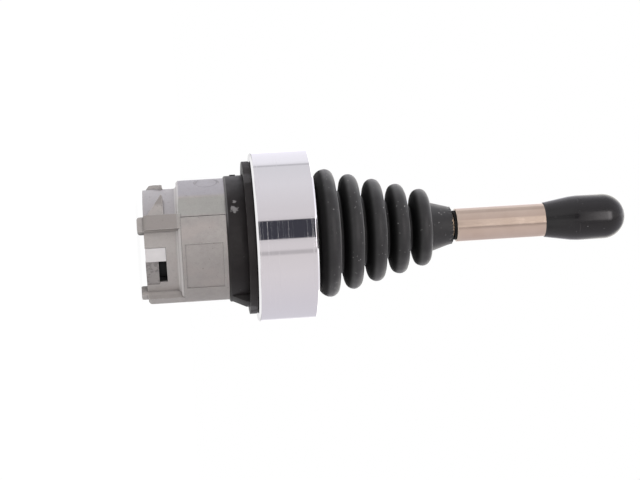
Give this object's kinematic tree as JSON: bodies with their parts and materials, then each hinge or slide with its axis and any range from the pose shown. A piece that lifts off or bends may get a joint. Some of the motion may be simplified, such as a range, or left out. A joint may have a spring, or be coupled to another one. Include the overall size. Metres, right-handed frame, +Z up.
{
  "type": "panel joystick",
  "caption": "Two-way joystick for a 22 mm panel hole: die-cast head with bright bezel, rubber bellows and a slim lever that rocks on a cross pin and works sprung plungers.",
  "frame": {"origin": "centre of the round hole, on the panel's face, where the gasket seats", "axes": "+Z runs up the lever to the knob, +Y points at the locating key"},
  "size_m": [0.0302, 0.0302, 0.0877],
  "materials": {
    "zinc_casting": "as-cast light grey, fine matte grain",
    "chrome": "bright plated",
    "black_rubber": "satin moulded rubber",
    "black_plastic": "semi-gloss moulded",
    "knob_plastic": "satin moulded",
    "nickel_tube": "warm nickel plated, drawn",
    "steel": "bright turned steel",
    "brass": "plain turned",
    "white_plastic": "smooth moulded"
  },
  "bodies": {
    "head": {"housing": "zinc_casting", "bezel": "chrome", "panel_gasket": "black_rubber", "locating_sleeve": "black_plastic", "boot": "black_rubber", "clamp_ring": "steel", "pivot_pin": "steel", "pivot_bushes": "white_plastic", "plunger_guide": "black_plastic", "slot_keys": "white_plastic", "spring_up": "steel", "spring_down": "steel"},
    "lever": {"rocker": "steel", "cross_pin": "steel", "lever_rod": "steel", "rod_clip": "steel", "ferrule": "black_plastic", "lever_tube": "nickel_tube", "knob_insert": "brass", "knob": "knob_plastic"},
    "upper_plunger": {"plunger_up": "white_plastic", "seat_up": "steel"},
    "lower_plunger": {"plunger_down": "white_plastic", "seat_down": "steel"}
  },
  "joints": [
    {"name": "lever_tilt", "type": "hinge", "parent": "head", "child": "lever", "pos_m": [0, 0, 0.0046], "axis": [-1, 0, 0], "range_deg": [-25, 25], "stiffness_Nm_per_rad": 0.06, "deforming": ["boot"]},
    {"name": "upper_plunger_slide", "type": "slide", "parent": "head", "child": "upper_plunger", "axis": [0, 0, -1], "range_m": [-0.0024, 0.0024], "deforming": ["spring_up"]},
    {"name": "lower_plunger_slide", "type": "slide", "parent": "head", "child": "lower_plunger", "axis": [0, 0, -1], "range_m": [-0.0024, 0.0024], "deforming": ["spring_down"]}
  ],
  "couplings": [
    {"joint": "upper_plunger_slide", "follows": "lever_tilt", "m_per_rad": 0.005327},
    {"joint": "lower_plunger_slide", "follows": "lever_tilt", "m_per_rad": -0.005327}
  ]
}
